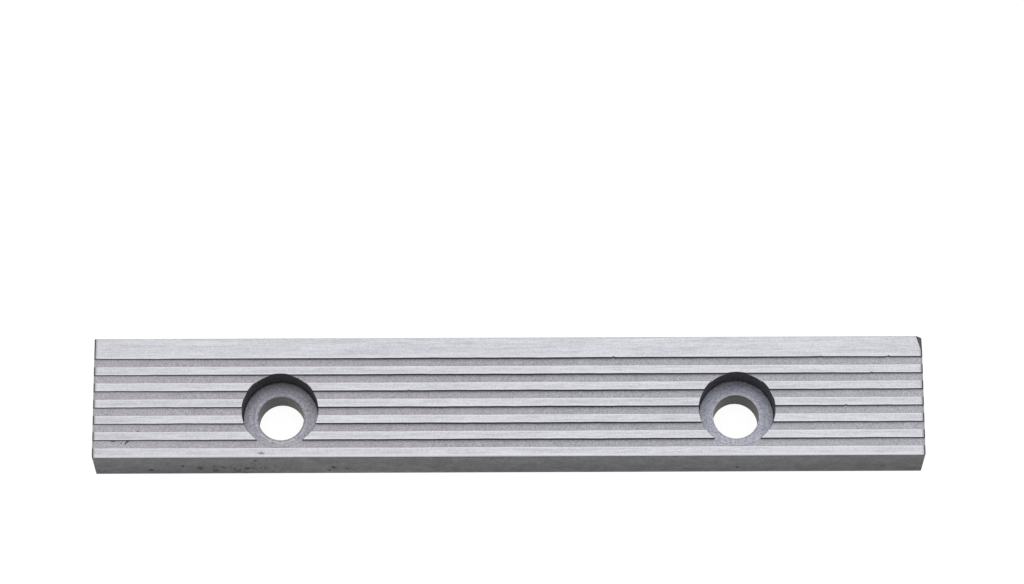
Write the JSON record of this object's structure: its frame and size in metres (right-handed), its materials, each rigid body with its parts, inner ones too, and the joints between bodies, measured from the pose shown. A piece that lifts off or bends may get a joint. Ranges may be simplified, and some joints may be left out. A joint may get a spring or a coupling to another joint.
{
  "type": "vise jaw",
  "caption": "Flat steel jaw plate for a bench vise, with full-length gripping grooves and counterbored screw holes.",
  "frame": {"origin": "middle of the back face, the face that seats on the vise", "axes": "+X along the plate, +Y across it towards the wide land, +Z out of the grooved gripping face"},
  "size_m": [0.1, 0.015, 0.007],
  "materials": {
    "ground_steel": "ground bright on the lands, blasted matt in the grooves, darker on the sides"
  },
  "bodies": {
    "root": {"jaw_plate": "ground_steel"}
  },
  "joints": []
}
